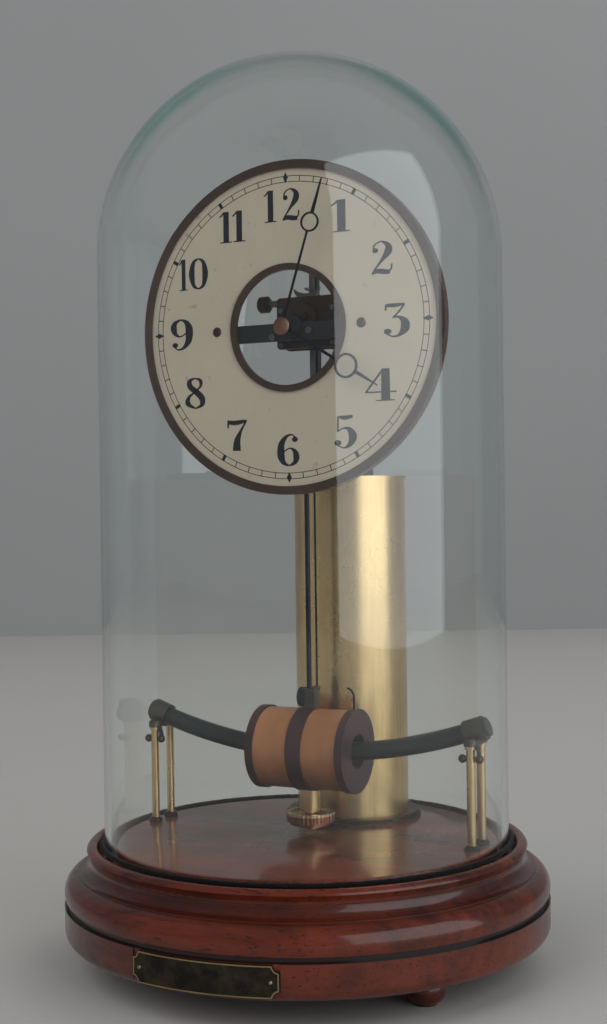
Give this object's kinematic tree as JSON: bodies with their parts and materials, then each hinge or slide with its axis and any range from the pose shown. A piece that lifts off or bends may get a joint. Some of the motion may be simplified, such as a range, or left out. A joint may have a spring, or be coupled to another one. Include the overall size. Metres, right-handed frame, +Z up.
{
  "type": "electric clock",
  "caption": "Battery-driven pendulum clock under a glass dome: coil swinging on a curved bar magnet, ratchet and worm movement seen through an open dial, turned mahogany base.",
  "frame": {"origin": "centre of the base on the table plane, under the feet", "axes": "+Z up, dial faces -Y, +X to the right of somebody who looks at the dial"},
  "size_m": [0.206, 0.2064, 0.3832],
  "materials": {
    "mahogany": "French-polished red-brown mahogany, darker in the coves",
    "aged_brass": "lacquered brass, tarnished darker in patches",
    "dark_brass": "browned brass",
    "dome_glass": "clear blown glass with a faint green edge",
    "chenille": "black chenille cord",
    "black_paint": "black stove enamel",
    "cream_dial": "cream painted dial, black figures",
    "bezel_bronze": "dark bronzed hoop",
    "blued_steel": "blued steel",
    "steel": "drawn steel",
    "black_magnet": "black-japanned magnet steel",
    "grey_metal": "grey-bronze cast clasp",
    "coil_paper": "tan copper-coloured covering",
    "coil_end": "dark purple-brown moulded end",
    "copper_wire": "enamelled copper winding",
    "copper_cap": "coppery cap and nut",
    "battery_jacket": "printed-paper coloured jacket, left plain",
    "plate_black": "dark patinated plate, left bare"
  },
  "bodies": {
    "stand": {"wooden_base": "mahogany", "bun_feet": "mahogany", "base_screws": "aged_brass", "nameplate": "plate_black", "dome_seal": "chenille", "column_flange": "dark_brass", "battery_tube": "aged_brass", "column_cap": "aged_brass", "contact_stud": "aged_brass", "battery_cell": "battery_jacket", "battery_cover": "aged_brass", "battery_leaf": "aged_brass", "supply_wire": "chenille", "movement_bracket": "black_paint", "bracket_screws": "steel", "suspension_cock": "dark_brass", "movement_bridge": "black_paint", "back_plate": "dark_brass", "front_plate": "dark_brass", "plate_pillars": "aged_brass", "plate_screws": "steel", "arbor_cocks": "dark_brass", "backstop_click": "steel", "dial_crossbar": "black_paint", "crossbar_screws": "steel", "dial_plate": "cream_dial", "dial_bezel": "bezel_bronze", "dial_inner_ring": "bezel_bronze", "dial_screws": "dark_brass", "magnet_bar": "black_magnet", "magnet_yokes": "grey_metal", "yoke_screws": "dark_brass", "magnet_pillars": "aged_brass"},
    "dome": {"glass_dome": "dome_glass"},
    "pendulum": {"suspension_spring": "steel", "pendulum_strap": "steel", "pendulum_rod": "blued_steel", "contact_pin": "steel", "coil_former": "coil_end", "coil_windings": "copper_wire", "coil_wraps": "coil_paper", "coil_band": "coil_end", "coil_clamp": "grey_metal", "clamp_nut": "black_paint", "coil_leads": "chenille", "rating_stud": "aged_brass"},
    "nut": {"rating_nut": "copper_cap"},
    "fork": {"contact_fork": "steel"},
    "pawl": {"drive_pawl": "steel"},
    "worm_shaft": {"worm_arbor": "steel", "ratchet_wheel": "steel", "setting_knob": "dark_brass"},
    "reduction_wheel": {"worm_wheel": "dark_brass"},
    "centre_arbor": {"centre_wheel": "dark_brass"},
    "minute_group": {"cannon_pinion": "steel", "minute_hand": "blued_steel", "centre_cap": "copper_cap"},
    "minute_intermediate": {"minute_wheel": "dark_brass"},
    "hour_group": {"hour_wheel": "dark_brass", "hour_hand": "blued_steel"}
  },
  "joints": [
    {"name": "dome_lift", "type": "slide", "parent": "stand", "child": "dome", "axis": [0, 0, 1], "range_m": [0, 0.3]},
    {"name": "pendulum_swing", "type": "hinge", "parent": "stand", "child": "pendulum", "pos_m": [0, 0.012, 0.3337], "axis": [0, 1, 0], "range_deg": [-4, 4]},
    {"name": "rating_turn", "type": "hinge", "parent": "pendulum", "child": "nut", "pos_m": [0, 0.0042, 0.0539], "axis": [0, 0, 1], "continuous": true},
    {"name": "fork_rock", "type": "hinge", "parent": "stand", "child": "fork", "pos_m": [0, 0.0071, 0.2688], "axis": [0, 1, 0], "range_deg": [-6, 6]},
    {"name": "pawl_lift", "type": "hinge", "parent": "fork", "child": "pawl", "pos_m": [0.02137, 0.00965, 0.2688], "axis": [-1, 0, 0], "range_deg": [0, 20], "stiffness_Nm_per_rad": 0.0002},
    {"name": "worm_turn", "type": "hinge", "parent": "stand", "child": "worm_shaft", "pos_m": [0, 0.0004, 0.2793], "axis": [1, 0, 0], "continuous": true},
    {"name": "reduction_turn", "type": "hinge", "parent": "stand", "child": "reduction_wheel", "pos_m": [0.0095, 0.0004, 0.2692], "axis": [0, 1, 0], "continuous": true},
    {"name": "centre_turn", "type": "hinge", "parent": "stand", "child": "centre_arbor", "pos_m": [0, -0.002, 0.2673], "axis": [0, 1, 0], "continuous": true},
    {"name": "minute_turn", "type": "hinge", "parent": "stand", "child": "minute_group", "pos_m": [0, -0.0175, 0.2673], "axis": [0, 1, 0], "continuous": true},
    {"name": "intermediate_turn", "type": "hinge", "parent": "stand", "child": "minute_intermediate", "pos_m": [0.00509, -0.0056, 0.27239], "axis": [0, 1, 0], "continuous": true},
    {"name": "hour_turn", "type": "hinge", "parent": "stand", "child": "hour_group", "pos_m": [0, -0.0166, 0.2673], "axis": [0, 1, 0], "continuous": true}
  ],
  "couplings": [
    {"joint": "fork_rock", "follows": "pendulum_swing", "ratio": -1.5},
    {"joint": "reduction_turn", "follows": "worm_turn", "ratio": -0.016667},
    {"joint": "centre_turn", "follows": "worm_turn", "ratio": 0.0041667},
    {"joint": "intermediate_turn", "follows": "minute_turn", "ratio": -0.33333},
    {"joint": "hour_turn", "follows": "minute_turn", "ratio": 0.083333}
  ]
}
